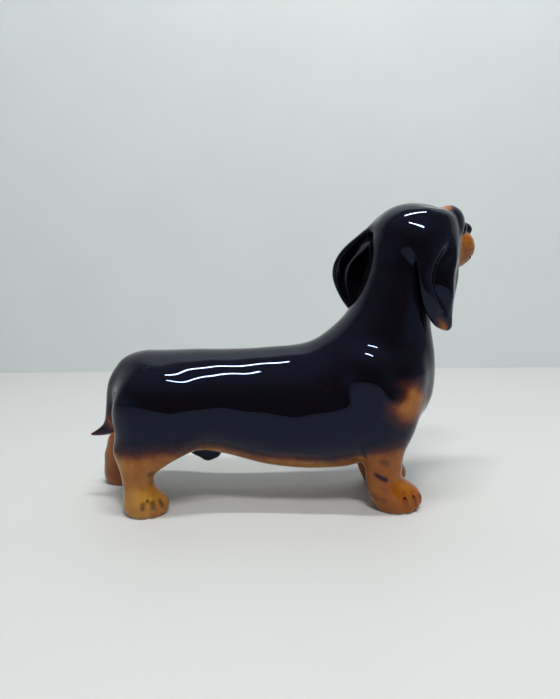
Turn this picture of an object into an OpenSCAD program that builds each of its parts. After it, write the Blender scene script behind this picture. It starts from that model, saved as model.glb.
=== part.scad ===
// Standing dachshund figurine, slip-cast in sections and luted together before firing.
// Millimetres. +X is where the chest points, +Y is the dog's left, +Z is up.
// Body frame: the origin is on the ground under the middle of the trunk, on its plane of symmetry.
// The finished part is moved so that its origin is the bottom centre of its bounding box.

/* [Trunk] */
// Length of the trunk from the chest to the rump
trunk_length = 162; // [130:1:200]
// Height of the back above the ground
back_height = 78.5; // [66:0.5:92]
// Width of the trunk over the ribs
trunk_width = 53; // [44:1:62]
// Ground clearance under the deepest part of the chest
chest_clearance = 18.5; // [15:0.5:24]
// Height that the belly rises in front of the hind legs
tuck_up = 11; // [4:1:16]

/* [Neck and head] */
// Height of the middle of the skull above the ground
skull_height = 132; // [120:1:146]
// Width of the skull
skull_width = 36; // [30:1:42]
// Length of the head from the middle of the skull to the nose
muzzle_reach = 46; // [40:1:54]
// Thickness of the neck, front to back
neck_depth = 38; // [32:1:44]
// Turn of the head towards the dog's left
head_turn = 40; // [0:1:55]
// Lift of the nose
head_lift = 8; // [-5:1:15]

/* [Ears] */
// Length of an ear from its root to its tip
ear_length = 55; // [46:1:64]
// Thickness of an ear
ear_thickness = 5; // [4:0.5:7]
// How far the left ear stands out behind the head
ear_flare = 11; // [0:1:16]

/* [Legs] */
// Distance between the middles of the hind feet
foot_spacing = 40; // [34:1:46]
// Distance between the middles of the front feet
front_spacing = 34; // [30:1:42]
// Width of a paw
paw_width = 18.5; // [16:0.5:22]
// Thickness of a lower leg
leg_thickness = 17; // [14:0.5:20]
// How far the left hind foot stands behind the right one
hind_step = 20; // [0:1:24]
// How far the left front foot stands ahead of the right one
front_step = -1; // [-4:1:6]

/* [Tail] */
// Drop of the tail from its root to its tip
tail_drop = 33; // [26:1:40]
// Thickness of the tail at its root
tail_thickness = 13; // [10:0.5:16]

/* [Casting] */
// Wall of the hollow castings
wall = 3.5; // [2.5:0.5:5]
// Wall of the hollow leg castings
leg_wall = 3.5; // [2.5:0.5:4.5]
// Diameter of the vent hole in the belly
vent_diameter = 6; // [4:0.5:8]
// Height above the back of the joint between the trunk and the neck
neck_joint_rise = 11.5; // [9:0.5:15]

/* [Hidden] */

black_glaze = [0.035, 0.04, 0.07];
tan_glaze = [0.62, 0.36, 0.12];

// Facets round each rounded form: body, head, legs and small parts.
fine = 28;
medium = 24;
small = 18;
big = 400;              // half-size of a cutting block

// Shares of the trunk, from its middle.
half_trunk = trunk_length / 2;
rib_half = trunk_width / 2;
back_z = back_height;
chest_z = chest_clearance;

// A station is [position, radii] of one rounded form.
// A trunk station from its length along the trunk, its top, its bottom, its half-width and its half-length.
function trunk_station(x, top, bottom, half_width, half_length) =
    [[x, 0, (top + bottom) / 2], [half_length, half_width, (top - bottom) / 2]];

rump_x = -half_trunk + 15;
loin_x = -0.4 * half_trunk;
chest_x = 0.5 * half_trunk;
forechest_x = half_trunk - 25;
neck_x = forechest_x + 2;

trunk_stations = [
    trunk_station(rump_x, back_z - 3, chest_z + tuck_up + 6, 0.86 * rib_half, 16),
    trunk_station(rump_x + 13, back_z, chest_z + tuck_up, 0.93 * rib_half, 19),
    trunk_station(loin_x, back_z, chest_z + tuck_up, 0.87 * rib_half, 18),
    trunk_station(-0.1 * half_trunk, back_z, chest_z + 4, 0.89 * rib_half, 18),
    trunk_station(0.2 * half_trunk, back_z + 1.5, chest_z, 0.96 * rib_half, 20),
    trunk_station(chest_x, back_z + 3, chest_z + 1.5, rib_half, 22),
    trunk_station(forechest_x, back_z + 6, chest_z + 13, 0.88 * rib_half, 23.5)
];

// The head's own frame has its origin in the middle of the skull.
skull_at = [forechest_x + 13, 7, skull_height];
neck_half = neck_depth / 2;
neck_rise = skull_height - back_z;
neck_joint_z = back_z + neck_joint_rise;
withers_station = [[chest_x - 12, 0, back_z - 11], [18, 0.75 * rib_half, 14]];
neck_stations = [
    [[forechest_x, 0, back_z - 8], [neck_half + 4, 0.85 * rib_half, 24]],
    [[forechest_x - 0.5, 0, back_z + 8], [neck_half + 2.5, neck_half + 0.5, 14]],
    [[neck_x, 1, back_z + 0.44 * neck_rise], [neck_half, 0.94 * neck_half, 10]],
    [[neck_x + 4, 3, back_z + 0.68 * neck_rise], [0.92 * neck_half, 0.9 * neck_half, 10]],
    [skull_at + [-2, -1, -4], [0.88 * neck_half, 0.88 * neck_half, 12]]
];

skull_half = skull_width / 2;
skull_stations = [
    [[-5, 0, 1], [17, skull_half, 17.5]],
    [[6, 0, 1.5], [17, 0.95 * skull_half, 16.5]],
    [[18, 0, 1], [10, 0.72 * skull_half, 14]]
];
muzzle_stations = [
    [[15, 0, -3.5], [12, 0.7 * skull_half, 12.5]],
    [[0.62 * muzzle_reach, 0, -4.5], [10, 0.52 * skull_half, 10.5]],
    [[muzzle_reach - 9, 0, -6.5], [8.5, 0.46 * skull_half, 9.5]]
];
brow_at = [18, 0.45 * skull_half, 7.5];
brow_radii = [6.5, 5.5, 7];
eye_at = [21.5, 0.58 * skull_half, 4];
eye_radius = 4.6;
nose_at = [muzzle_reach - 2.5, 0, -2];
nose_radii = [4.5, 5, 4];

// Legs: stations are [position, radii], and the last one is the paw, cut off flat at the ground.
foot_y = foot_spacing / 2;
front_y = front_spacing / 2;
paw_half = paw_width / 2;
leg_half = leg_thickness / 2;
front_x = 0.63 * half_trunk;
hind_x = -0.86 * half_trunk;
paw_height = 6.5;

function front_leg(x, y) = [
    [[x + 1, y, chest_z + 18], [11, leg_half + 1, 12]],
    [[x, y, chest_z + 5], [leg_half + 1.3, leg_half, 9]],
    [[x + 1.5, y, 12], [leg_half + 1, leg_half, 7]],
    [[x + 6, y, paw_height], [13.5, paw_half, paw_height + 1.5]]
];
function hind_leg(x, y, lean) = [
    [[x + 10 - 0.3 * lean, y, chest_z + 15], [14, leg_half + 0.7, 12]],
    [[x - 0.8 * lean, y, chest_z + 10 - 0.3 * lean], [11, leg_half, 8.5]],
    [[x + 1 - lean, y, 16], [leg_half + 0.8, leg_half - 0.7, 8]],
    [[x + 3.5 - lean, y, paw_height], [12 + 0.05 * lean, paw_half, paw_height + 1.5]]
];

// Haunch and shoulder forms that belong to the body casting, one of each a side.
function haunch(side, back) =
    [[rump_x + 8 - 0.3 * back, side * (foot_y - 1), chest_z + 26.5], [19, 8.5, 19]];
function shoulder(side) =
    [[chest_x + 8, side * (front_y + 2), chest_z + 27.5], [15, 8.5, 20]];
sheath_at = [loin_x - 7, 0, chest_z + tuck_up - 3];
sheath_radii = [10, 5, 8.5];
vent_x = sheath_at[0] + 21;

// The tail hangs on the rump and ends in a short kick to the rear.
tail_half = tail_thickness / 2;
tail_root = [-half_trunk + 1, 0, back_z - 11];
tail_stations = [
    [tail_root, tail_half],
    [tail_root + [-3.5, 0, -0.35 * tail_drop], tail_half - 0.5],
    [tail_root + [-6.5, 0, -0.68 * tail_drop], tail_half - 1.2],
    [tail_root + [-10, 0, -0.87 * tail_drop], tail_half - 2.5],
    [tail_root + [-17, 0, -tail_drop], tail_half - 5]
];

// Ears: each row of three points runs from the rear edge to the front edge, in the frame of the turned head.
ear_half = ear_thickness / 2;
ear_top = 12;
function ear_level(share) = ear_top - share * (ear_length - ear_half);
// A point on an ear's flap from its place along the head, its distance out from the ear's root and its share
// of the length.
ear_root = skull_half - 7;
function right_flap(x, out, share) = [x, -ear_root - out, ear_level(share)];
function left_flap(x, out, share) = [x, ear_root + out, ear_level(share)];
right_ear_rows = [
    [right_flap(-8, 0, 0), right_flap(-2, 2.5, 0), right_flap(5, 2, 0)],
    [right_flap(-14, 1, 0.22), right_flap(-3, 7.5, 0.22), right_flap(9, 6, 0.22)],
    [right_flap(-17, 2, 0.45), right_flap(-4, 9.5, 0.45), right_flap(10.5, 8, 0.45)],
    [right_flap(-15, 5.5, 0.75), right_flap(-5, 10, 0.75), right_flap(6, 10, 0.75)],
    [right_flap(-3, 8.5, 1), right_flap(-1, 9.5, 1), right_flap(1.5, 9.5, 1)]
];
left_ear_rows = [
    [left_flap(-9, 0, 0), left_flap(-3, 2.5, 0), left_flap(4, 2, 0)],
    [left_flap(-9 - ear_flare, ear_flare - 1, 0.18), left_flap(-8, 9, 0.18), left_flap(6, 6.5, 0.18)],
    [left_flap(-17 - ear_flare, ear_flare + 5.5, 0.5), left_flap(-14, 17, 0.5), left_flap(4, 10.5, 0.5)],
    [left_flap(-13 - ear_flare, ear_flare + 4.5, 0.72), left_flap(-14, 16, 0.72), left_flap(0, 12, 0.72)],
    [left_flap(-16, 13, 0.9), left_flap(-12, 14, 0.9), left_flap(-8, 13, 0.9)]
];

// The figure's extents, which give the bounding box and so the origin.
function turned_x(x, y) = skull_at[0] + x * cos(head_turn) - y * sin(head_turn);
function turned_y(x, y) = skull_at[1] + x * sin(head_turn) + y * cos(head_turn);
nose_forward = nose_at[0] * cos(head_lift) - nose_at[2] * sin(head_lift);
nose_round_x = norm([nose_radii[0] * cos(head_turn), nose_radii[1] * sin(head_turn)]);
nose_round_y = norm([nose_radii[0] * sin(head_turn), nose_radii[1] * cos(head_turn)]);
front_end = turned_x(nose_forward, 0) + nose_round_x;
left_foot = hind_leg(hind_x, foot_y, hind_step)[3];
last_tail = tail_stations[len(tail_stations) - 1];
rear_end = min(left_foot[0][0] - left_foot[1][0], last_tail[0][0] - last_tail[1]);
left_side = max(turned_y(nose_forward, 0) + nose_round_y, foot_y + paw_half);
right_side = -max(foot_y + paw_half, rib_half);
origin_at = [(front_end + rear_end) / 2, (left_side + right_side) / 2, 0];

module place() {
    translate(-origin_at) children();
}

module turn_head() {
    translate(skull_at) rotate([0, 0, head_turn]) children();
}

// One rounded form, made thinner all round by inset.
module form(station, inset, facets) {
    radii = is_list(station[1]) ? station[1] : [station[1], station[1], station[1]];
    translate(station[0]) scale(radii - [inset, inset, inset]) sphere(1, $fn = facets);
}

// Rounded forms joined in a row by a skin.
module chain(stations, inset, facets) {
    for (i = [0 : len(stations) - 2]) {
        hull() {
            form(stations[i], inset, facets);
            form(stations[i + 1], inset, facets);
        }
    }
}

module below_ground() {
    translate([-big, -big, -2 * big]) cube(2 * big);
}

// Everything above the joint between the trunk and the neck.
module above_neck_joint() {
    translate([-big, -big, neck_joint_z]) cube(2 * big);
}

module body_mass(inset, facets) {
    chain(trunk_stations, inset, facets);
    chain([withers_station, neck_stations[1]], inset, facets);
    chain([for (i = [0 : 2]) neck_stations[i]], inset, facets);
}

module haunches_and_shoulders() {
    for (side = [-1, 1]) {
        form(haunch(side, side > 0 ? hind_step : 0), 0, medium);
        form(shoulder(side), 0, medium);
    }
    form([sheath_at, sheath_radii], 0, small);
}

module head_mass(inset, facets) {
    chain([for (i = [1 : 4]) neck_stations[i]], inset, facets);
    turn_head() rotate([0, -head_lift, 0]) {
        chain(skull_stations, inset, facets);
        chain(muzzle_stations, inset, facets);
    }
}

module face() {
    turn_head() rotate([0, -head_lift, 0]) {
        for (side = [-1, 1]) {
            form([[brow_at[0], side * brow_at[1], brow_at[2]], brow_radii], 0, small);
            form([[eye_at[0], side * eye_at[1], eye_at[2]], eye_radius], 0, small);
        }
        form([nose_at, nose_radii], 0, small);
    }
}

// The whole outside of the body casting, with no cavity.
module body_outside() {
    difference() {
        union() {
            body_mass(0, fine);
            haunches_and_shoulders();
        }
        above_neck_joint();
    }
}

module body_casting() {
    color(black_glaze) place() difference() {
        body_outside();
        body_mass(wall, medium);
        translate([vent_x, 0, 0]) cylinder(d = vent_diameter, h = back_z / 2, $fn = medium);
    }
}

module head_outside() {
    head_mass(0, medium);
    face();
}

module head_casting() {
    color(black_glaze) place() difference() {
        head_outside();
        head_mass(wall, small);
        translate([0, 0, -2 * big]) above_neck_joint();
    }
}

module ear_flap(rows) {
    turn_head() for (r = [0 : len(rows) - 2], c = [0 : 1]) {
        hull() {
            for (p = [rows[r][c], rows[r][c + 1], rows[r + 1][c], rows[r + 1][c + 1]]) {
                translate(p) sphere(ear_half, $fn = 12);
            }
        }
    }
}

module ear(rows) {
    color(black_glaze) place() difference() {
        ear_flap(rows);
        head_outside();
        body_outside();
    }
}

module right_ear() {
    ear(right_ear_rows);
}

module left_ear() {
    ear(left_ear_rows);
}

module tail() {
    color(black_glaze) place() difference() {
        chain(tail_stations, 0, small);
        body_outside();
    }
}

// A leg is hollow down to its paw, and its cavity opens into the trunk's.
module leg(stations) {
    hollow = [for (i = [0 : 2]) stations[i]];
    color(tan_glaze) place() difference() {
        chain(stations, 0, small);
        chain(hollow, leg_wall, small);
        body_outside();
        below_ground();
    }
}

module front_right_leg() {
    leg(front_leg(front_x, -front_y));
}

module front_left_leg() {
    leg(front_leg(front_x + front_step, front_y));
}

module hind_right_leg() {
    leg(hind_leg(hind_x, -foot_y, 0));
}

module hind_left_leg() {
    leg(hind_leg(hind_x, foot_y, hind_step));
}

body_casting();
head_casting();
right_ear();
left_ear();
tail();
front_right_leg();
front_left_leg();
hind_right_leg();
hind_left_leg();
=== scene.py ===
"""Black and tan dachshund figurine in glazed earthenware.

Laid out as an add-on and run as a script. The figurine is modelled as one smooth clay form, a field that is
negative inside the clay. The form's skin is meshed once, then cut into the castings and luted-on pieces that
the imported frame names, so that neighbouring pieces share every point of the seam between them.
"""

import math

import bpy
import numpy as np
from bpy.props import FloatProperty, FloatVectorProperty, PointerProperty
from mathutils import Matrix, Vector


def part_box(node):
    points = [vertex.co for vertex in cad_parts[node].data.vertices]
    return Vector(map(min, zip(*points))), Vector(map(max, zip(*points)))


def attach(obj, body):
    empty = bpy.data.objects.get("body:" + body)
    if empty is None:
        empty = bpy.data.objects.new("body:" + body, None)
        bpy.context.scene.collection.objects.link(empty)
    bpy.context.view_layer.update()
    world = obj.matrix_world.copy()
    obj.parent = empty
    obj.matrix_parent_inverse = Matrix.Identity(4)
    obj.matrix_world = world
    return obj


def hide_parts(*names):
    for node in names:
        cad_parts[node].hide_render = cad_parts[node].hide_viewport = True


bl_info = {
    "name": "Glazed dachshund figurine",
    "version": (1, 0, 0),
    "blender": (4, 5, 0),
    "location": "3D View > Sidebar > Figurine",
    "description": "Models, paints and glazes a standing dachshund figurine around its packed frame",
    "category": "Object",
}

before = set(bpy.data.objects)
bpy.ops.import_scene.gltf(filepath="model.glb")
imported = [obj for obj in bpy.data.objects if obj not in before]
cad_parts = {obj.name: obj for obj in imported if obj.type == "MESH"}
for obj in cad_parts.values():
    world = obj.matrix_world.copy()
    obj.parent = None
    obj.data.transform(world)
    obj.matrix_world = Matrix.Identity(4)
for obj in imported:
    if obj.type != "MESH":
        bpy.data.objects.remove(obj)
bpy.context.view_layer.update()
MM = 0.001


def middle(node, axis):
    """Middle of a node's box along one axis, in millimetres."""
    low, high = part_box(node)
    return (low[axis] + high[axis]) / 2 / MM


# The dog's own frame has its origin on the ground under the middle of the trunk.
FRONT_PAW_TIP = 70.5
TRUNK_AT = np.array([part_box("front_right_leg")[1][0] / MM - FRONT_PAW_TIP, middle("body_casting", 1), 0.0])
NECK_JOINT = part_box("head_casting")[0][2] / MM


def natural_spline(places, values):
    """Cubic curve through (place, value) that runs on straight past its ends."""
    t = np.asarray(places, float)
    v = np.asarray(values, float)
    n = len(t)
    h = np.diff(t)
    a = np.zeros((n, n))
    r = np.zeros((n,) + v.shape[1:])
    a[0, 0] = a[-1, -1] = 1
    for i in range(1, n - 1):
        a[i, i - 1] = h[i - 1]
        a[i, i] = 2 * (h[i - 1] + h[i])
        a[i, i + 1] = h[i]
        r[i] = 3 * ((v[i + 1] - v[i]) / h[i] - (v[i] - v[i - 1]) / h[i - 1])
    c = np.linalg.solve(a, r)
    wide = h.reshape((-1,) + (1,) * (v.ndim - 1))
    b = (v[1:] - v[:-1]) / wide - wide * (2 * c[:-1] + c[1:]) / 3
    d = (c[1:] - c[:-1]) / (3 * wide)

    def curve(x):
        x = np.clip(x, t[0], t[-1])
        i = np.clip(np.searchsorted(t, x, side="right") - 1, 0, n - 2)
        s = x - t[i]
        if v.ndim > 1:
            s = s[:, None]
        return v[i] + s * (b[i] + s * (c[i] + s * d[i]))
    return curve


def stations_curve(stations):
    """Curve through rows that start with their place."""
    return natural_spline([row[0] for row in stations], [row[1:] for row in stations])


def smin(a, b, k):
    """Union of two solids, run together over a width k."""
    h = np.maximum(k - np.abs(a - b), 0) / k
    return np.minimum(a, b) - h * h * h * k / 6


def smax(a, b, k):
    """Intersection of two solids, with its edge rounded over a width k."""
    return -smin(-a, -b, k)


def round_max(a, b, r):
    """Intersection of two solids with a rounded edge of radius r."""
    u = np.maximum(a + r, 0)
    v = np.maximum(b + r, 0)
    return np.minimum(np.maximum(a, b), -r) + np.sqrt(u * u + v * v)


def creased(a, b, depth, width):
    """Union of two solids with a crease where they meet."""
    return np.minimum(a, b) + depth * np.maximum(1 - np.abs(a - b) / width, 0) ** 2


def ellipse(u, v, a, b):
    """About the distance to an ellipse with half axes a and b."""
    p = (u / a) ** 2
    q = (v / b) ** 2
    k0 = np.sqrt(p + q)
    k1 = np.sqrt(p / a ** 2 + q / b ** 2) + 1e-9
    return k0 * (k0 - 1) / k1


def ellipsoid(p, centre, radii):
    """About the distance to an ellipsoid."""
    d = p - np.asarray(centre, float)
    r = np.asarray(radii, float)
    k0 = np.sqrt(((d / r) ** 2).sum(1))
    k1 = np.sqrt(((d / r ** 2) ** 2).sum(1)) + 1e-9
    return k0 * (k0 - 1) / k1


def capsule(p, a, b, ra, rb):
    """Distance to a round-ended rod from a to b."""
    a = np.asarray(a, float)
    ab = np.asarray(b, float) - a
    t = np.clip(((p - a) @ ab) / (ab @ ab), 0, 1)
    return np.linalg.norm(p - a - t[:, None] * ab, axis=1) - (ra + t * (rb - ra))


def string(p, points, radii, k=None):
    """Round strand through points, its rods run together over a width k."""
    f = None
    for i in range(len(points) - 1):
        g = capsule(p, points[i], points[i + 1], radii[i], radii[i + 1])
        f = g if f is None else (np.minimum(f, g) if k is None else smin(f, g, k))
    return f


def bell(x, peak, width):
    """1 at the peak, falling away on both sides."""
    return np.exp(-((x - peak) / width) ** 2)


def smooth(x, a, b):
    """0 up to a, 1 from b on, and a soft step between."""
    t = np.clip((x - a) / (b - a), 0, 1)
    return t * t * (3 - 2 * t)


def both_sides(p):
    """Points with those on the right mirrored to the left, for a form that is alike on both sides."""
    return np.stack([p[:, 0], np.abs(p[:, 1]), p[:, 2]], 1)


def within(p, low, high, margin, func):
    """func where p lies in a box, and the distance to the box elsewhere."""
    low = np.asarray(low, float) - margin
    high = np.asarray(high, float) + margin
    out = np.maximum(np.maximum(low - p, p - high), 0)
    inside = (out == 0).all(1)
    f = np.sqrt((out ** 2).sum(1)) + margin
    if inside.any():
        f[inside] = func(p[inside])
    return f


# ------------------------------------------------------------------ trunk
TRUNK = [  # x, top, bottom, half width
    (-87, 71.5, 36.0, 20.5),
    (-77, 76.4, 33.5, 22.8),
    (-62, 78.6, 30.5, 24.3),
    (-46, 79.0, 28.0, 24.3),
    (-30, 78.8, 25.0, 24.0),
    (-14, 78.9, 20.6, 24.2),
    (2, 79.9, 17.6, 25.0),
    (16, 82.6, 16.4, 26.0),
    (30, 88.0, 17.0, 26.4),
    (46, 90.5, 20.8, 25.0),
    (60, 90.0, 27.5, 21.8),
    (72, 84.0, 37.0, 16.0)]
trunk_curve = stations_curve(TRUNK)


def trunk(p):
    s = trunk_curve(p[:, 0])
    mid = (s[:, 0] + s[:, 1]) / 2
    half = (s[:, 0] - s[:, 1]) / 2
    rise = np.clip((p[:, 2] - mid) / half, -1, 1)
    wide = s[:, 2] * (1 - 0.07 * rise * smooth(p[:, 0], -40, 30))
    f = ellipse(p[:, 1], p[:, 2] - mid, wide, half)
    f = round_max(f, -(p[:, 0] + 82.0), 16.0)
    return round_max(f, p[:, 0] - 74.0, 14.0)


NECK = [  # z, back x, front x, half width, y
    (52, 24.0, 76.4, 22.5, 0.0),
    (64, 24.0, 77.8, 22.0, 0.0),
    (74, 25.0, 77.8, 21.3, 0.0),
    (84, 27.0, 77.0, 20.3, 0.3),
    (94, 32.4, 76.4, 19.2, 0.8),
    (104, 38.6, 76.6, 18.3, 1.6),
    (114, 42.6, 77.0, 17.6, 2.8),
    (124, 45.8, 78.6, 17.0, 4.2),
    (136, 49.5, 81.0, 16.4, 6.0)]
neck_curve = stations_curve(NECK)


def neck(p):
    s = neck_curve(p[:, 2])
    mid = (s[:, 0] + s[:, 1]) / 2
    half = (s[:, 1] - s[:, 0]) / 2
    f = ellipse(p[:, 0] - mid, p[:, 1] - s[:, 3], half, s[:, 2])
    f = round_max(f, p[:, 2] - 140.0, 10.0)
    return round_max(f, 48.0 - p[:, 2], 10.0)


# ------------------------------------------------------------------ legs
FRONT_LEG = [  # z, back, front, half width, out
    (-1, 48.6, 68.0, 8.0, 16.8),
    (3, 46.6, 70.4, 9.1, 16.8),
    (7, 44.8, 70.4, 9.2, 16.8),
    (10, 43.8, 68.8, 8.6, 16.8),
    (13, 43.2, 65.4, 7.9, 16.8),
    (16, 42.8, 61.4, 7.5, 16.8),
    (20, 42.4, 60.4, 7.7, 16.8),
    (26, 41.6, 60.8, 8.1, 16.6),
    (34, 40.2, 62.4, 8.8, 16.2),
    (44, 38.5, 65.0, 9.3, 15.5),
    (52, 38.5, 65.0, 9.0, 14.5)]
HIND_LEG = [  # z, back, front, half width, out
    (-1, -77.0, -57.4, 8.6, 19.0),
    (3, -78.3, -55.7, 9.2, 19.0),
    (6.5, -78.4, -56.2, 9.2, 19.0),
    (9.5, -78.0, -58.8, 8.5, 19.0),
    (13, -77.8, -61.8, 7.8, 19.0),
    (17, -77.9, -63.0, 7.4, 19.0),
    (21, -78.5, -60.8, 7.7, 19.0),
    (26, -80.2, -54.5, 8.2, 18.6),
    (32, -82.0, -47.5, 8.8, 18.0),
    (40, -79.8, -43.0, 9.2, 16.8),
    (50, -78.0, -42.0, 9.4, 14.5)]
FAR_HIND_LEG = [  # z, back, front, half width, out
    (-1, -97.8, -77.4, 8.4, 21.4),
    (3, -99.6, -75.4, 9.0, 21.4),
    (6.5, -99.9, -76.0, 9.0, 21.4),
    (9.5, -99.7, -78.6, 8.4, 21.4),
    (13, -99.5, -81.0, 7.9, 21.2),
    (17, -99.3, -81.4, 7.6, 21.0),
    (21, -98.0, -79.0, 7.7, 20.6),
    (26, -96.4, -73.0, 8.2, 20.0),
    (32, -92.0, -63.5, 8.8, 19.0),
    (40, -85.5, -55.0, 9.2, 17.2),
    (50, -81.0, -50.0, 9.4, 14.5)]

front_curve = stations_curve(FRONT_LEG)
hind_curve = stations_curve(HIND_LEG)
far_hind_curve = stations_curve(FAR_HIND_LEG)


def leg(p, curve, side, shift, top):
    """Leg and paw from the floor up to its top inside the trunk."""
    s = curve(p[:, 2])
    mid = (s[:, 0] + s[:, 1]) / 2 + shift
    half = (s[:, 1] - s[:, 0]) / 2
    f = ellipse(p[:, 0] - mid, p[:, 1] - side * s[:, 3], half, s[:, 2])
    return round_max(f, p[:, 2] - top, 6.0)


PAWS = [  # middle of the paw, half length, which way is out
    ((57.3, -16.8), 12.6, -1), ((55.8, 16.8), 12.6, 1), ((-67.2, -19.0), 11.4, -1), ((-87.2, 21.4), 11.6, 1)]
TOE_TURNS = (-75, -48, -21, 6)  # degrees from straight ahead, outwards negative
PAW_HALF_WIDTH = 9.1


def toe_gaps(middle_at, front, out, turned=0.0):
    """Each gap between toes as three points: on top of the paw, at its brow and near the floor."""
    gaps = []
    for turn in TOE_TURNS:
        a = np.radians(turn + turned)
        ahead, aside = np.cos(a), -out * np.sin(a)
        gaps.append([(middle_at[0] + share * front * ahead, middle_at[1] + share * PAW_HALF_WIDTH * aside, z)
                     for share, z in ((0.62, 11.0), (0.97, 7.0), (1.03, 1.0))])
    return gaps


def toes(p, f, paw):
    """Grooves between the toes."""
    for top, brow, low in toe_gaps(*paw):
        g = np.minimum(capsule(p, top, brow, 0.3, 1.0), capsule(p, brow, low, 1.0, 0.8))
        f = smax(f, -g, 1.5)
    return f


def front_leg(p, side, shift=0.0):
    """A front leg; side is -1 for the right and 1 for the left."""
    def form(q):
        f = leg(q, front_curve, side, shift, 50.0)
        return toes(q, f, PAWS[0 if side < 0 else 1])
    low_y, high_y = sorted((side * 6, side * 28))
    return within(p, (38 + shift, low_y, -2), (72 + shift, high_y, 52), 12, form)


def hind_leg(p, side, far):
    """A hind leg; the far one is set further back."""
    def form(q):
        f = leg(q, far_hind_curve if far else hind_curve, side, 0.0, 48.0)
        return toes(q, f, PAWS[3 if far else 2])
    low_x, high_x = (-100, -50) if far else (-83, -42)
    low_y, high_y = sorted((side * 8, side * 30))
    return within(p, (low_x, low_y, -2), (high_x, high_y, 50), 12, form)


# ------------------------------------------------------------------ tail
TAIL = [  # x, z, radius
    (-76.0, 67.5, 6.3), (-80.6, 61.5, 6.3), (-83.2, 54.5, 6.0), (-84.8, 47.5, 5.4),
    (-86.8, 41.5, 4.5), (-90.2, 37.6, 3.3), (-94.6, 35.6, 2.1), (-98.2, 34.6, 1.1)]
tail_line = natural_spline(range(len(TAIL)), TAIL)


def tail(p):
    def form(q):
        s = tail_line(np.linspace(0, len(TAIL) - 1, 29))
        pts = np.stack([s[:, 0], 0 * s[:, 0], s[:, 1]], 1)
        return string(q, pts, s[:, 2])
    return within(p, (-100, -7, 33), (-72, 7, 76), 10, form)


# ------------------------------------------------------------------ head
SKULL_AT = np.array([69.0, 7.0, 132.0])
TURN, LIFT = np.radians(40.0), np.radians(8.0)
FORWARD = np.array([np.cos(TURN), np.sin(TURN), 0.0])
LEFT = np.array([-np.sin(TURN), np.cos(TURN), 0.0])
UP = np.array([0.0, 0.0, 1.0])
NOD_FORWARD = FORWARD * np.cos(LIFT) + UP * np.sin(LIFT)
NOD_UP = UP * np.cos(LIFT) - FORWARD * np.sin(LIFT)


def to_head(p, lifted=True):
    """Points as forward, left and up from the middle of the skull; lifted follows the muzzle's tilt."""
    d = p - SKULL_AT
    if lifted:
        return np.stack([d @ NOD_FORWARD, d @ LEFT, d @ NOD_UP], 1)
    return np.stack([d @ FORWARD, d @ LEFT, d @ UP], 1)


MUZZLE = [  # forward, top, bottom, half width
    (6, 13.5, -14.0, 14.0),
    (12.5, 11.8, -15.0, 12.6),
    (19, 8.4, -16.2, 10.6),
    (25, 6.0, -17.8, 9.2),
    (30.5, 4.4, -19.0, 8.5),
    (35.5, 3.4, -19.6, 8.2),
    (41, 2.2, -19.0, 7.8),
    (46.5, 0.6, -17.0, 7.0)]
muzzle_curve = stations_curve(MUZZLE)

EYE_AT, EYE = np.array([21.6, 11.6, 3.0]), np.array([4.4, 3.8, 4.4])
NOSE_AT, NOSE = np.array([42.4, 0.0, 0.2]), np.array([5.4, 5.6, 4.6])
MOUTH = [  # forward, left, up
    (41.0, 3.4, -12.9), (40.0, 6.4, -13.3), (34.8, 9.2, -14.2), (27.8, 10.4, -14.4), (21.5, 11.6, -11.5)]


def muzzle(h):
    s = muzzle_curve(h[:, 0])
    mid = (s[:, 0] + s[:, 1]) / 2
    half = (s[:, 0] - s[:, 1]) / 2
    f = ellipse(h[:, 1], h[:, 2] - mid, s[:, 2], half)
    # The front slopes back to the chin.
    lean = (h[:, 0] - 43.8) + 0.22 * np.maximum(-9.0 - h[:, 2], 0) ** 1.5 / 2
    f = round_max(f, lean, 5.5)
    return round_max(f, -(h[:, 0] - 2), 6.0)


def head(p):
    def form(q):
        h = to_head(q)
        m = both_sides(h)
        f = ellipsoid(h, (-3.5, 0, 0.8), (19.5, 17.6, 18.0))
        f = smin(f, ellipsoid(m, (7.0, 0, 1.0), (15.5, 14.5, 15.5)), 8.0)
        f = smin(f, muzzle(h), 9.0)
        f = smin(f, ellipsoid(m, (14.5, 7.0, -6.0), (10.5, 8.0, 10.0)), 6.0)  # cheek
        f = smin(f, ellipsoid(m, (16.4, 9.2, 5.6), (8.6, 7.6, 10.0)), 4.0)  # brow
        f = smin(f, ellipsoid(m, (36.4, 4.4, -8.5), (6.6, 4.8, 7.0)), 4.0)  # lip
        f = smax(f, -string(m, MOUTH, [0.6, 0.7, 0.7, 0.6, 0.3]), 1.6)
        f = creased(f, ellipsoid(m, EYE_AT, EYE), 0.55, 1.3)
        f = creased(f, ellipsoid(m, NOSE_AT, NOSE), 0.45, 1.2)
        # The nostril, then the groove from the nose down to the lip.
        f = smax(f, -capsule(m, (45.9, 2.4, -0.8), (43.6, 6.2, -2.2), 1.5, 1.1), 1.0)
        f = smax(f, -capsule(m, (47.3, 0, -1.0), (44.8, 0, -12.0), 1.1, 1.1), 1.2)
        return f
    return within(p, (46, -14, 108), (114, 48, 152), 14, form)


# ------------------------------------------------------------------ ears
EAR_ROOT = 12.0  # above the middle of the skull
RIGHT_EAR = [  # down from the root, rear edge, front edge, out at rear, middle, front
    (-4, -8.0, 7.0, 11.5, 14.5, 13.0),
    (2, -10.5, 8.5, 12.5, 16.4, 15.6),
    (10, -15.0, 9.8, 13.5, 18.3, 17.6),
    (20, -18.3, 10.0, 14.6, 19.4, 18.6),
    (30, -18.8, 8.8, 16.2, 20.0, 19.4),
    (40, -16.8, 4.8, 17.8, 20.6, 20.2),
    (48, -12.4, 2.6, 18.8, 20.8, 21.0),
    (53, -7.4, 2.4, 19.6, 20.8, 21.4),
    (56, -2.6, 2.4, 20.2, 20.8, 21.4)]
right_curve = stations_curve(RIGHT_EAR)

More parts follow.
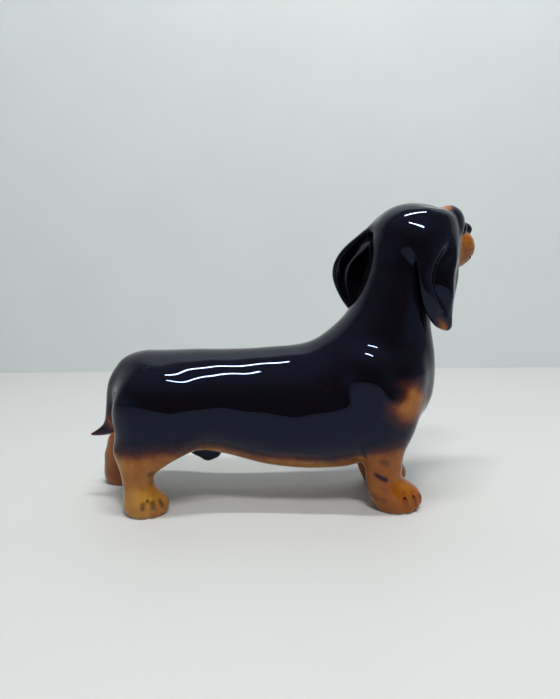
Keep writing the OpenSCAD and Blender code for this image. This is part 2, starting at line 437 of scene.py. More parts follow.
LEFT_EAR = [  # down, rear, front, out at rear, middle, front
    (-4, -7.5, 6.0, 12.0, 14.5, 13.0),
    (1, -11.0, 7.5, 14.5, 17.5, 15.5),
    (7, -17.5, 8.0, 18.5, 21.5, 17.5),
    (14, -25.0, 7.6, 23.0, 25.5, 19.5),
    (22, -29.8, 6.2, 26.5, 28.6, 21.5),
    (30, -30.2, 3.5, 27.6, 29.8, 22.8),
    (38, -26.8, -0.5, 27.0, 29.5, 23.6),
    (45, -21.6, -5.0, 26.0, 28.3, 24.2),
    (50, -16.0, -9.0, 25.4, 26.8, 24.8)]
left_curve = stations_curve(LEFT_EAR)


def ear(h, side, curve, folds, middle, edge, width, length, corner, lean, rim_round):
    """A hanging leaf, whose middle surface bows out by folds(place across, way down)."""
    down = EAR_ROOT - h[:, 2]
    s = curve(down)
    out = side * h[:, 1]
    mid_u = (s[:, 0] + s[:, 1]) / 2
    half_u = (s[:, 1] - s[:, 0]) / 2
    c = (h[:, 0] - mid_u) / half_u  # -1 at the rear edge, 1 at the front
    bow = s[:, 3] + c * (s[:, 4] - s[:, 2]) / 2 + c * c * ((s[:, 2] + s[:, 4]) / 2 - s[:, 3])
    bow += folds(c, down)
    sheet = np.abs(out - bow) - (middle + (edge - middle) * np.clip(np.abs(c), 0, 1) ** 2)
    rim = round_max((np.abs(c) - 1) * half_u * width, down - length, corner)
    f = round_max(sheet * lean, rim, rim_round)
    return round_max(f, -(down + 2), 3.0)


def right_folds(c, down):
    """A valley that wanders down the near ear, between two ridges."""
    deep = smooth(down, 8, 24) * (1 - smooth(down, 36, 49))
    valley = 0.22 - 0.5 * bell(down, 30, 14)
    ridges = 2.2 * bell(c, valley + 0.5, 0.3) - 2.6 * bell(c, valley, 0.2) + 1.2 * bell(c, valley - 0.5, 0.3)
    return deep * ridges


def left_folds(c, down):
    """One broad ridge inside the cup of the far ear."""
    return smooth(down, 10, 24) * (2.2 * bell(c, -0.15, 0.45) - 1.4 * bell(c, 0.6, 0.3))


def right_ear(p):
    def form(q):
        h = to_head(q, lifted=False)
        return ear(h, -1, right_curve, right_folds, 1.7, 1.2, 1.0, 55.5, 3.5, 0.93, 1.5)
    return within(p, (52, -22, 84), (94, 6, 150), 8, form)


def left_ear(p):
    def form(q):
        h = to_head(q, lifted=False)
        return ear(h, 1, left_curve, left_folds, 1.9, 1.5, 0.9, 50.5, 4.0, 0.85, 1.6)
    return within(p, (22, 4, 92), (84, 48, 150), 8, form)


# ------------------------------------------------------------------ whole
def haunches(p):
    f = ellipsoid(p, (-60.0, -17.5, 47.0), (20.0, 10.0, 20.0))
    return np.minimum(f, ellipsoid(p, (-64.0, 17.5, 47.0), (20.0, 10.0, 20.0)))


def shoulders(p):
    q = both_sides(p)
    return ellipsoid(q, (49.0, 16.5, 51.0), (17.0, 11.4, 23.0))


def blades(p):
    q = both_sides(p)
    rear = ellipsoid(q, (43.0, 17.6, 69.0), (13.0, 9.8, 13.0))
    return smin(rear, ellipsoid(q, (60.5, 14.6, 68.0), (10.0, 9.2, 12.0)), 6.0)


def body_mass(p):
    f = smin(trunk(p), neck(p), 16.0)
    f = smin(f, haunches(p), 19.0)
    f = smin(f, shoulders(p), 12.0)
    return smin(f, blades(p), 9.0)


SHEATH = [  # middle, radius
    ((-50.0, 0, 32.0), 3.6), ((-43.0, 0, 27.0), 4.0), ((-38.0, 0, 23.8), 3.7), ((-34.4, 0, 24.6), 3.0),
    ((-31.5, 0, 28.5), 2.6)]


def sheath(p):
    return string(p, [s[0] for s in SHEATH], [s[1] for s in SHEATH], 3.6)


def torso(p):
    f = body_mass(p)
    f = smin(f, sheath(p), 4.0)
    for side in (-1, 1):
        armpit = capsule(p, (39.0, side * 27.6, 38.0), (41.0, side * 23.4, 27.0), 1.6, 1.6)
        flank = capsule(p, (-51.0, side * 29.5, 39.0), (-45.5, side * 29.0, 44.0), 3.0, 2.0)
        f = smax(f, -armpit, 3.0)
        f = smax(f, -flank, 4.0)
    vent = capsule(p, (-18.4, 0, 8.0), (-18.4, 0, 30.0), 3.0, 3.0)
    return smax(f, -vent, 1.2)


LEGS = ("front_right_leg", "front_left_leg", "hind_right_leg", "hind_left_leg")


def parts(p):
    """Every part's own field, before the parts are run together."""
    return {
        "body": torso(p), "head": head(p), "tail": tail(p),
        "right_ear": right_ear(p), "left_ear": left_ear(p),
        "front_right_leg": front_leg(p, -1), "front_left_leg": front_leg(p, 1, -0.8),
        "hind_right_leg": hind_leg(p, -1, False), "hind_left_leg": hind_leg(p, 1, True)}


def drift(p, scale, seed):
    """Slow hand-made unevenness between about -1 and 1."""
    total = np.zeros(len(p))
    turns = np.random.default_rng(seed)
    for _ in range(5):
        way = turns.normal(size=3)
        way /= np.linalg.norm(way)
        total += np.sin(p @ way / scale * turns.uniform(0.7, 1.5) + turns.uniform(0, 2 * np.pi))
    return total / 2.6


def figure(p):
    """The whole clay form, down to the floor."""
    f = parts(p)
    g = smin(f["body"], f["head"], 10.0)
    g = smin(g, f["tail"], 4.0 + 12.0 * smooth(p[:, 2], 44, 66))
    for name in LEGS:
        g = smin(g, f[name], 7.0)
    h = to_head(p, lifted=False)
    g = smin(g, f["right_ear"], 2.0 + 10.0 * smooth(h[:, 2], -18, 4))
    g = smin(g, f["left_ear"], 3.0 + 9.0 * smooth(h[:, 2], -8, 8))
    g = g + 0.26 * drift(p, 6.0, 5) + 0.07 * drift(p, 2.8, 8)
    return round_max(g, -p[:, 2], 1.2)


# ------------------------------------------------------------------ meshing
def gradient(field, p, reach=0.1):
    """Slope of a field, from four points round each place."""
    slope = np.zeros_like(p)
    for way in np.array([(1, -1, -1), (-1, -1, 1), (-1, 1, -1), (1, 1, 1)], float):
        slope += way * field(p + reach * way)[:, None]
    return slope / (4 * reach)


def in_batches(field, p, size=300000):
    return np.concatenate([field(p[i:i + size]) for i in range(0, len(p), size)])


def sample_near_skin(field, low, high, step, stride=4):
    """The field on a grid, worked out finely only where the skin passes."""
    low = np.asarray(low, float)
    cells = np.ceil((np.asarray(high, float) - low) / (step * stride)).astype(int)
    axes = [low[i] + step * stride * np.arange(cells[i] + 1) for i in range(3)]
    grid = np.stack(np.meshgrid(*axes, indexing="ij"), -1).reshape(-1, 3)
    coarse = in_batches(field, grid).reshape(cells + 1)
    near = np.zeros(cells, bool)
    for c in np.ndindex(2, 2, 2):
        block = coarse[c[0]:c[0] + cells[0], c[1]:c[1] + cells[1], c[2]:c[2] + cells[2]]
        near |= np.abs(block) < stride * step * 1.6
    fine = coarse
    for axis in range(3):
        fine = np.repeat(fine, stride, axis)
        near = np.repeat(near, stride, axis)
    count = cells * stride + 1
    fine = np.where(fine > 0, 9.0, -9.0)[:count[0], :count[1], :count[2]]
    wanted = np.zeros(count, bool)
    for c in np.ndindex(2, 2, 2):
        wanted[c[0]:c[0] + count[0] - 1, c[1]:c[1] + count[1] - 1, c[2]:c[2] + count[2] - 1] |= near
    fine[wanted] = in_batches(field, low + step * np.argwhere(wanted))
    return fine


def without_diagonals(values, step):
    """Grid values with no face whose inside corners are diagonal: a net would touch itself there."""
    changed = True
    while changed:
        changed = False
        for axes in ((0, 1), (0, 2), (1, 2)):
            order = axes + tuple(i for i in range(3) if i not in axes)
            grid = values.transpose(order)
            a, b, c, d = grid[:-1, :-1], grid[1:, :-1], grid[1:, 1:], grid[:-1, 1:]
            for one, other, gap, next_gap in ((a, c, b, d), (b, d, a, c)):
                diagonal = (one < 0) & (other < 0) & (gap >= 0) & (next_gap >= 0)
                changed |= bool(diagonal.any())
                first = diagonal & (gap <= next_gap)
                gap[first] = -0.02 * step
                next_gap[diagonal & ~first] = -0.02 * step
    return values


def surface_nets(values, low, step):
    """Quads round the zero level of a grid of values, with one point in each cell that it passes through."""
    inside = values < 0
    count = np.array(values.shape) - 1

    def corner(grid, c):
        return grid[c[0]:c[0] + count[0], c[1]:c[1] + count[1], c[2]:c[2] + count[2]]

    corners = list(np.ndindex(2, 2, 2))
    filled = sum(corner(inside, c).astype(np.int8) for c in corners)
    active = (filled > 0) & (filled < 8)
    cells = np.argwhere(active)
    index = -np.ones(count, np.int64)
    index[active] = np.arange(len(cells))
    at_corner = {c: corner(values, c)[active] for c in corners}
    total = np.zeros((len(cells), 3))
    crossings = np.zeros(len(cells))
    for start in corners:
        for axis in range(3):
            if start[axis]:
                continue
            end = tuple(1 if i == axis else start[i] for i in range(3))
            a, b = at_corner[start], at_corner[end]
            crossed = (a < 0) != (b < 0)
            place = np.tile(np.array(start, float), (len(cells), 1))
            place[:, axis] += np.where(crossed, a / np.where(crossed, a - b, 1), 0)
            total += place * crossed[:, None]
            crossings += crossed
    points = np.asarray(low) + step * (cells + total / crossings[:, None])
    quads = []
    for axis in range(3):
        u, v = [i for i in range(3) if i != axis]
        before = inside.take(range(0, inside.shape[axis] - 1), axis)
        after = inside.take(range(1, inside.shape[axis]), axis)
        edges = np.argwhere(before != after)
        keep = (edges[:, u] > 0) & (edges[:, v] > 0) & (edges[:, u] < count[u]) & (edges[:, v] < count[v])
        edges = edges[keep]
        outward = before[tuple(edges.T)]

        def cell(du, dv):
            at = edges.copy()
            at[:, u] -= du
            at[:, v] -= dv
            return index[tuple(at.T)]

        quad = np.stack([cell(0, 0), cell(1, 0), cell(1, 1), cell(0, 1)], 1)
        if axis == 1:
            outward = ~outward
        quad[~outward] = quad[~outward][:, ::-1]
        quads.append(quad)
    return points, np.concatenate(quads)


def onto_skin(field, points, times=2):
    """Points moved along the field's slope until they lie on its zero level."""
    for _ in range(times):
        slope = gradient(field, points)
        steepness = np.maximum((slope * slope).sum(1), 0.05)
        points = points - slope * (np.clip(field(points), -1, 1) / steepness)[:, None]
    return points


def evened(points, faces, share=0.5):
    """Points moved part of the way to the middle of their neighbours."""
    sides = faces.shape[1]
    total = np.zeros_like(points)
    count = np.zeros(len(points))
    for i in range(sides):
        a, b = faces[:, i], faces[:, (i + 1) % sides]
        for one, other in ((a, b), (b, a)):
            for axis in range(3):
                total[:, axis] += np.bincount(one, points[other, axis], len(points))
            count += np.bincount(one, minlength=len(points))
    return points + share * (total / np.maximum(count, 1)[:, None] - points)


def as_triangles(points, quads):
    """Each quad cut along its shorter diagonal."""
    p = points[quads]
    first = np.linalg.norm(p[:, 0] - p[:, 2], axis=1) <= np.linalg.norm(p[:, 1] - p[:, 3], axis=1)
    a, b = quads[first], quads[~first]
    return np.concatenate([a[:, [0, 1, 2]], a[:, [0, 2, 3]], b[:, [0, 1, 3]], b[:, [1, 2, 3]]])


def edge_table(triangles):
    """Each edge once, and the three edges of each triangle."""
    pairs = np.stack([triangles, np.roll(triangles, -1, 1)], 2).reshape(-1, 2)
    edges, number = np.unique(np.sort(pairs, 1), axis=0, return_inverse=True)
    return edges, number.reshape(-1, 3)


def refined(field, points, triangles, bend, shortest):
    """Edges longer than shortest whose ends' normals differ by more than bend are halved, on the skin."""
    slope = gradient(field, points)
    normals = slope / np.linalg.norm(slope, axis=1)[:, None]
    edges, sides = edge_table(triangles)
    length = np.linalg.norm(points[edges[:, 0]] - points[edges[:, 1]], axis=1)
    turn = (normals[edges[:, 0]] * normals[edges[:, 1]]).sum(1)
    split = (turn < math.cos(bend)) & (length > shortest)
    new = np.full(len(edges), -1)
    new[split] = len(points) + np.arange(split.sum())
    middles = points[edges[split]].mean(1)
    points = np.concatenate([points, onto_skin(field, middles, 1)])
    mid = new[sides]  # mid[:, i] halves the side from corner i to corner i + 1
    cut = mid >= 0
    count = cut.sum(1)
    result = [triangles[count == 0]]
    for i in range(3):
        j, k = (i + 1) % 3, (i + 2) % 3
        one = (count == 1) & cut[:, i]
        t, m = triangles[one], mid[one]
        result += [np.stack([t[:, i], m[:, i], t[:, k]], 1), np.stack([m[:, i], t[:, j], t[:, k]], 1)]
        two = (count == 2) & ~cut[:, k]
        t, m = triangles[two], mid[two]
        result += [np.stack([m[:, i], t[:, j], m[:, j]], 1), np.stack([t[:, i], m[:, i], m[:, j]], 1),
                   np.stack([t[:, i], m[:, j], t[:, k]], 1)]
    t, m = triangles[count == 3], mid[count == 3]
    result += [m] + [np.stack([m[:, (i + 2) % 3], t[:, i], m[:, i]], 1) for i in range(3)]
    return points, np.concatenate(result)


def patches(count, edges):
    """A number for each point, the same for points that edges join."""
    patch = np.arange(count)
    before = None
    while before is None or (patch != before).any():
        before = patch.copy()
        lower = patch[edges].min(1)
        np.minimum.at(patch, edges[:, 0], lower)
        np.minimum.at(patch, edges[:, 1], lower)
        patch = patch[patch]
    return patch


def largest_patch(count, edges, wanted):
    """The points of the largest joined patch among the wanted ones."""
    patch = patches(count, edges[wanted[edges].all(1)])
    return patch == np.argmax(np.bincount(patch[wanted], minlength=count))


def one_patch_each(side, edges):
    """Which points are inside, when all but the largest patch of either sign goes to its surroundings."""
    used = np.zeros(len(side), bool)
    used[edges] = True
    inside = largest_patch(len(side), edges, used & (side < 0))
    return used & ~largest_patch(len(side), edges, used & ~inside)


def split(points, triangles, side):
    """Two closed meshes from one, cut where side is zero, with the same fan of faces as both caps."""
    edges, number = edge_table(triangles)
    inside = one_patch_each(side, edges)
    side = np.maximum(np.abs(side), 1e-3) * np.where(inside, -1, 1)
    crossed = inside[edges[:, 0]] != inside[edges[:, 1]]
    a, b = edges[crossed].T
    share = (side[a] / (side[a] - side[b]))[:, None]
    new = np.full(len(edges), -1)
    new[crossed] = len(points) + np.arange(len(a))
    points = np.concatenate([points, points[a] + share * (points[b] - points[a])])
    mid = new[number]
    held = inside[triangles]
    halves = {True: [triangles[held.all(1)]], False: [triangles[~held.any(1)]]}
    seams = []
    for i in range(3):
        j, k = (i + 1) % 3, (i + 2) % 3
        lone = (held[:, i] != held[:, j]) & (held[:, i] != held[:, k])
        for inner in (True, False):
            at = lone & (held[:, i] == inner)
            t, m = triangles[at], mid[at]
            p, q = m[:, i], m[:, k]
            halves[inner].append(np.stack([t[:, i], p, q], 1))
            halves[not inner] += [np.stack([p, t[:, j], t[:, k]], 1), np.stack([p, t[:, k], q], 1)]
            seams.append(np.stack([p, q] if inner else [q, p], 1))
    seams = np.concatenate(seams)
    following = dict(seams)
    caps = []
    centres = []
    while following:
        start = next(iter(following))
        loop = [start]
        while following.get(loop[-1], start) != start:
            loop.append(following.pop(loop[-1]))
        following.pop(loop[-1], None)
        centre = len(points) + len(centres)
        centres.append(points[loop].mean(0))
        loop = np.array(loop)
        caps.append(np.stack([np.roll(loop, -1), loop, np.full(len(loop), centre)], 1))
    points = np.concatenate([points] + [np.array(centres).reshape(-1, 3)])
    caps = np.concatenate(caps)
    return points, np.concatenate(halves[True] + [caps]), np.concatenate(halves[False] + [caps[:, ::-1]])


# ------------------------------------------------------------------ paint
TAN_LINE = [  # x, height of the edge between black and tan
    (-100, 34.5), (-75, 33.0), (-50, 33.5), (-36, 32.5), (-14, 28.5), (16, 25.5), (34, 27.0), (46, 32.0),
    (62, 32.5), (80, 33.0)]
tan_line = natural_spline([s[0] for s in TAN_LINE], [s[1] for s in TAN_LINE])


def spot(p, centre, radii, core=0.5, edge=1.05):
    """Sprayed patch: full inside the core, nothing past the edge."""
    reach = np.linalg.norm((p - np.asarray(centre)) / np.asarray(radii), axis=1)
    return 1 - smooth(reach, core, edge)


def stroke(p, start, end, width):
    """Soft line, for a brush stroke or for painted shade in a crease."""
    return 1 - smooth(capsule(p, start, end, 0, 0), 0.25 * width, 1.35 * width)


def paint(p, fields):
    """How much black, red-brown, brushwork with painted shade in the creases, and bare clay each point
    carries.
    """
    both = both_sides(p)
    h = to_head(p)
    face = both_sides(h)
    on_head = fields["head"] < fields["body"]
    ear = np.minimum(fields["right_ear"], fields["left_ear"]) < 0.8
    tail_part = fields["tail"] < 0.6

    black = smooth(p[:, 2] - tan_line(p[:, 0]) + 2.0 * drift(p, 4.0, 3), -7.0, 8.5)
    black = np.minimum(black, 1 - spot(both, (61.0, 22.0, 55.5), (16.5, 17.0, 14.5), 0.25, 1.15))
    black = np.maximum(black, 0.92 * spot(both, (50.5, 27.0, 62.5), (10.5, 12.0, 7.4), 0.35, 1.35))
    black = np.maximum(black, (1 - smooth(sheath(p), 0.8, 3.5)) * (1 - smooth(p[:, 2], 27, 31)))
    muzzle_side = smooth(face[:, 0], 13, 21) * (1 - smooth(face[:, 2] - 3.5 + 0.11 * face[:, 0], -1.5, 2.0))
    throat = smooth(face[:, 0], 6, 14) * (1 - smooth(face[:, 2], -16.0, -10.5)) * on_head
    pip = spot(face, (12.5, 10.0, 14.5), (4.6, 4.6, 4.2), 0.45, 1.25)
    on_face = np.maximum(np.maximum(muzzle_side * on_head, throat), pip) * ~ear
    black = np.minimum(black, 1 - 0.9 * on_face)
    nose = 1 - smooth(ellipsoid(h, NOSE_AT, NOSE), 0.3, 0.9)
    eye = 1 - smooth(ellipsoid(face, EYE_AT, EYE), 0.1, 0.5)
    black = np.maximum(black, np.maximum(nose, eye))
    tip = stroke(p, (75.5, -13.0, 95.5), (80.0, -12.0, 90.5), 2.8) * ear
    black = np.minimum(black, 1 - 0.85 * tip)
    under_tail = tail_part * (1 - smooth(p[:, 2], 40, 56)) * smooth(p[:, 0] + 0.35 * p[:, 2], -78.0, -72.0)
    black = np.minimum(black, 1 - 0.75 * under_tail)

    marks_and_shade = np.zeros(len(p))
    # Brush strokes, and painted shade laid as dark lines in the armpit and ankle creases.
    for start, end, width, depth in BRUSH_MARKS_AND_CREASE_SHADE:
        marks_and_shade = np.maximum(marks_and_shade, depth * stroke(p, start, end, width))
    for paw in PAWS:
        depth = TOE_DEPTH * (0.45 if paw[0][0] > 0 else 1.0)
        for top, brow, low in toe_gaps(*paw, -13.0)[:3]:
            claw = 0.25 * np.array(top) + 0.75 * np.array(brow)
            tip_at = 0.8 * np.array(brow) + 0.2 * np.array(low)
            marks_and_shade = np.maximum(marks_and_shade, depth * stroke(p, claw, tip_at, 1.9))
    red = 0.72 + 0.25 * drift(p, 7.0, 7) + 0.15 * smooth(p[:, 0], 20, 40)
    honey = np.maximum(spot(p, (-80.0, -24.0, 27.0), (6.0, 8.0, 12.0), 0.3, 1.2),
                       spot(both, (-72.0, 24.0, 8.0), (12.0, 10.0, 8.0), 0.4, 1.2))
    red = np.clip(red - 0.7 * honey + 0.5 * smooth(black, 0.02, 0.5), 0, 1)
    bare = 1 - smooth(p[:, 2], 0.15, 0.7)
    return {"black": black, "red": red, "marks_and_shade": marks_and_shade, "bare": bare, "jet": np.maximum(nose, eye)}


TOE_DEPTH = 0.54
BRUSH_MARKS_AND_CREASE_SHADE = [  # from, to, width, depth of colour; brush strokes, with painted shade as dark lines along the armpit groove and round the ankles
    ((45.6, -24.0, 20.4), (51.0, -24.5, 17.8), 1.9, 0.7),
    ((49.0, -24.0, 27.4), (51.5, -24.5, 26.2), 2.8, 0.45),
    ((38.5, -24.0, 38.5), (41.5, -22.5, 25.0), 1.9, 0.8),
    ((-82.5, -17.0, 36.5), (-79.0, -21.0, 33.8), 2.6, 0.85),
    ((-62.5, -25.0, 22.0), (-59.5, -23.0, 13.5), 3.0, 0.5),
    ((-80.0, -22.0, 13.0), (-78.0, -26.0, 4.0), 3.0, 0.25),
    ((44.5, -21.0, 8.5), (50.0, -25.0, 7.0), 2.8, 0.4),
    ((50.5, -24.0, 12.5), (60.0, -24.0, 11.0), 2.2, 0.3),
    ((-94.0, 10.0, 33.5), (-86.0, 10.0, 33.0), 3.0, 0.85)]


# ------------------------------------------------------------------ glazes
def socket(group, name, kind, default, is_output=False):
    made = group.interface.new_socket(name=name, in_out="OUTPUT" if is_output else "INPUT", socket_type=kind)
    if not is_output:
        made.default_value = default


class Graph:
    """Short calls for building a node tree."""

    def __init__(self, tree):
        self.tree = tree

    def node(self, kind, inputs=None, **settings):
        made = self.tree.nodes.new(kind)
        for name, value in settings.items():
            setattr(made, name, value)
        for name, value in (inputs or {}).items():
            if isinstance(value, bpy.types.NodeSocket):
                self.tree.links.new(value, made.inputs[name])
            else:
                made.inputs[name].default_value = value
        return made

    def math(self, operation, a, b=0.0, clamp=False):
        return self.node("ShaderNodeMath", {0: a, 1: b}, operation=operation, use_clamp=clamp).outputs[0]

    def span(self, value, low, high, to_low=0.0, to_high=1.0):
        inputs = {"Value": value, "From Min": low, "From Max": high, "To Min": to_low, "To Max": to_high}
        return self.node("ShaderNodeMapRange", inputs, interpolation_type="SMOOTHSTEP").outputs["Result"]

    def mix(self, share, a, b):
        made = self.node("ShaderNodeMix", data_type="RGBA")
        for index, value in ((0, share), (6, a), (7, b)):
            if isinstance(value, bpy.types.NodeSocket):
                self.tree.links.new(value, made.inputs[index])
            else:
                made.inputs[index].default_value = value
        return made.outputs[2]

    def noise(self, place, scale, detail=3.0, roughness=0.5):
        inputs = {"Vector": place, "Scale": scale, "Detail": detail, "Roughness": roughness}
        return self.node("ShaderNodeTexNoise", inputs).outputs["Fac"]


def sprayed_colours():
    """Group: the colour under the glaze, from the five painted masks."""
    name = "sprayed_colours"
    if name in bpy.data.node_groups:
        return bpy.data.node_groups[name]
    group = bpy.data.node_groups.new(name, "ShaderNodeTree")
    for mask in ("Black", "Red", "Marks_and_shade", "Bare", "Jet"):
        socket(group, mask, "NodeSocketFloat", 0.0)
    for colour in ("Jet", "Black", "Brown", "Red-brown", "Honey", "Clay"):
        socket(group, colour + " colour", "NodeSocketColor", (0.5, 0.5, 0.5, 1))
    socket(group, "Speckle size", "NodeSocketFloat", 900.0)
    socket(group, "Speckle depth", "NodeSocketFloat", 0.2)
    socket(group, "Colour", "NodeSocketColor", None, True)
    socket(group, "Roughness", "NodeSocketFloat", None, True)
    g = Graph(group)
    given = g.node("NodeGroupInput").outputs
    place = g.node("ShaderNodeTexCoord").outputs["Object"]
    fine = g.noise(place, given["Speckle size"], 2.0)
    cloud = g.noise(place, 160.0, 4.0, 0.6)
    grain = g.math("MULTIPLY", g.math("SUBTRACT", fine, 0.5), given["Speckle depth"])
    blot = g.math("MULTIPLY", g.math("SUBTRACT", cloud, 0.5), 1.1)
    cover = g.math("ADD", g.math("ADD", given["Black"], grain), g.math("MULTIPLY", blot, 0.35))
    red = g.math("ADD", given["Red"], blot, clamp=True)
    tan = g.mix(red, given["Honey colour"], given["Red-brown colour"])
    tan = g.mix(g.span(cover, 0.0, 0.55), tan, given["Brown colour"])
    colour = g.mix(g.span(cover, 0.28, 1.0), tan, given["Black colour"])
    # Dark strokes: brushwork, claws, and painted shade in the creases, all in the black colour.
    strokes_and_shade = g.span(g.math("ADD", given["Marks_and_shade"], grain), 0.15, 0.75, 0.0, 0.93)
    colour = g.mix(strokes_and_shade, colour, given["Black colour"])
    colour = g.mix(given["Jet"], colour, given["Jet colour"])
    colour = g.mix(given["Bare"], colour, given["Clay colour"])
    haze = g.span(g.noise(place, 45.0, 5.0, 0.6), 0.35, 0.8, 0.0, 0.03)
    roughness = g.math("ADD", haze, g.math("MULTIPLY", given["Bare"], 0.6))
    roughness = g.math("ADD", roughness, 0.012)
    g.node("NodeGroupOutput", {"Colour": colour, "Roughness": roughness})
    return group


def glaze_surface():
    """Group: height of the fired glaze, in metres, with slow ripples and a fine orange peel."""
    name = "glaze_surface"
    if name in bpy.data.node_groups:
        return bpy.data.node_groups[name]
    group = bpy.data.node_groups.new(name, "ShaderNodeTree")
    socket(group, "Ripple size", "NodeSocketFloat", 70.0)
    socket(group, "Ripple height", "NodeSocketFloat", 0.0001)
    socket(group, "Peel size", "NodeSocketFloat", 420.0)
    socket(group, "Peel height", "NodeSocketFloat", 0.000004)
    socket(group, "Height", "NodeSocketFloat", None, True)
    g = Graph(group)
    given = g.node("NodeGroupInput").outputs
    place = g.node("ShaderNodeTexCoord").outputs["Object"]
    ripple = g.math("MULTIPLY", g.noise(place, given["Ripple size"], 1.0), given["Ripple height"])
    peel = g.math("MULTIPLY", g.noise(place, given["Peel size"], 2.0), given["Peel height"])
    g.node("NodeGroupOutput", {"Height": g.math("ADD", ripple, peel)})
    return group


def with_alpha(colour):
    """An opaque colour for a socket."""
    return tuple(colour) + (1.0,)


def glaze_material(name, colours, ripple):
    """Clear glossy glaze over the sprayed colours."""
    if name in bpy.data.materials:
        return bpy.data.materials[name]
    material = bpy.data.materials.new(name)
    material.use_nodes = True
    tree = material.node_tree
    tree.nodes.clear()
    g = Graph(tree)
    # The brushwork mask also carries painted shade in the creases.
    masks = {mask: g.node("ShaderNodeAttribute", attribute_name=mask.lower()).outputs["Fac"]
             for mask in ("Black", "Red", "Marks_and_shade", "Bare", "Jet")}
    sprayed = g.node("ShaderNodeGroup", node_tree=sprayed_colours())
    for mask, value in masks.items():
        tree.links.new(value, sprayed.inputs[mask])
    for label, value in (("Jet", colours.jet), ("Black", colours.black), ("Brown", colours.brown),
                         ("Red-brown", colours.red_brown), ("Honey", colours.honey), ("Clay", colours.clay)):
        sprayed.inputs[label + " colour"].default_value = with_alpha(value)
    surface = g.node("ShaderNodeGroup", {"Ripple height": ripple}, node_tree=glaze_surface())
    bump = g.node("ShaderNodeBump", {"Height": surface.outputs["Height"], "Strength": 1.0, "Distance": 1.0})
    shader = g.node("ShaderNodeBsdfPrincipled", {
        "Base Color": sprayed.outputs["Colour"], "Roughness": sprayed.outputs["Roughness"],
        "Normal": bump.outputs["Normal"], "IOR": colours.glaze_ior,
        "Specular Tint": with_alpha(colours.sheen)})
    g.node("ShaderNodeOutputMaterial", {"Surface": shader.outputs[0]})
    return material


# ------------------------------------------------------------------ pieces
SEAMS = ("right_ear", "left_ear", "tail") + LEGS  # in the order that they are cut off
HIDDEN_DEPTH = 0.3  # a face whose middle is further than this from the skin is inside a seam
cut = {}


def whole_skin(step):
    """Points and triangles of the whole figurine's skin, in the dog's own frame."""
    low, high = (-104, -36, -3), (116, 48, 156)
    values = without_diagonals(sample_near_skin(figure, low, high, step), step)
    points, quads = surface_nets(values, low, step)
    sides = np.concatenate([quads[:, :2], quads[:, 1:3], quads[:, 2:]])
    quads = quads[largest_patch(len(points), sides, np.ones(len(points), bool))[quads[:, 0]]]
    points = onto_skin(figure, points)
    for _ in range(2):
        points = onto_skin(figure, evened(points, quads), 1)
    triangles = as_triangles(points, quads)
    number = edge_table(triangles)[1]
    beside = (np.argsort(number.ravel(), kind="stable") // 3).reshape(-1, 2)  # two triangles to each edge
    triangles = triangles[largest_patch(len(triangles), beside, np.ones(len(triangles), bool))]
    for bend, shortest in ((0.30, 0.45), (0.26, 0.3), (0.24, 0.2)):
        points, triangles = refined(figure, points, triangles, bend, shortest)
    points = onto_skin(figure, evened(points, triangles, 0.3), 2)
    return points, triangles


def cut_pieces(step):
    """The nine pieces, each a closed mesh, as (points, triangles)."""
    if cut:
        return cut
    points, rest = whole_skin(step)
    for name in SEAMS:
        fields = parts(points)
        others = np.min([field for key, field in fields.items() if key != name], axis=0)
        points, cut[name], rest = split(points, rest, fields[name] - others)
    points, cut["body_casting"], cut["head_casting"] = split(points, rest, points[:, 2] - NECK_JOINT)
    cut["points"] = points
    return cut


def add_piece(context, name, material_name):
    """Builds one piece's object, painted and glazed, and gives it its place in the frame."""
    figurine = context.scene.figurine
    pieces = cut_pieces(figurine.mesh_step / MM)
    used, triangles = np.unique(pieces[name], return_inverse=True)
    triangles = triangles.reshape(-1, 3)
    points = pieces["points"][used]
    mesh = bpy.data.meshes.new(name)
    mesh.vertices.add(len(points))
    mesh.vertices.foreach_set("co", ((points + TRUNK_AT) * MM).ravel())
    mesh.loops.add(triangles.size)
    mesh.loops.foreach_set("vertex_index", triangles.ravel())
    mesh.polygons.add(len(triangles))
    mesh.polygons.foreach_set("loop_start", np.arange(0, triangles.size, 3))
    mesh.polygons.foreach_set("loop_total", np.full(len(triangles), 3))
    mesh.update(calc_edges=True)
    mesh.validate()
    for mask, value in paint(points, parts(points)).items():
        mesh.attributes.new(mask, "FLOAT", "POINT").data.foreach_set("value", value.astype(np.float32))
    mesh.polygons.foreach_set("use_smooth", np.ones(len(triangles), bool))
    slope = gradient(figure, points)
    smooth_normals = (slope / np.linalg.norm(slope, axis=1)[:, None])[triangles]
    corners = points[triangles]
    flat = np.cross(corners[:, 1] - corners[:, 0], corners[:, 2] - corners[:, 0])
    flat /= np.linalg.norm(flat, axis=1)[:, None] + 1e-12
    hidden = (np.abs(figure(corners.mean(1))) > HIDDEN_DEPTH)[:, None, None]
    normals = np.where(hidden, flat[:, None, :], smooth_normals)
    mesh.normals_split_custom_set(normals.reshape(-1, 3))
    mesh.materials.append(glaze_material(material_name, context.scene.glaze, figurine.ripple))
    piece = bpy.data.objects.new(name + "_glazed", mesh)
    context.collection.objects.link(piece)
    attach(piece, "root")
    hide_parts(name)
    return piece


# ------------------------------------------------------------------ sizes and colours
class FigurineSizes(bpy.types.PropertyGroup):
    """Sizes of the modelling and the glaze."""
    mesh_step: FloatProperty(name="Mesh step", description="Spacing of the points on plain skin",
                             default=0.0009, min=0.0005, max=0.003, subtype="DISTANCE", unit="LENGTH")
    ripple: FloatProperty(name="Glaze ripple", description="Height of the slow ripples in the fired glaze",
                          default=0.00012, min=0.0, max=0.0005, subtype="DISTANCE", unit="LENGTH")


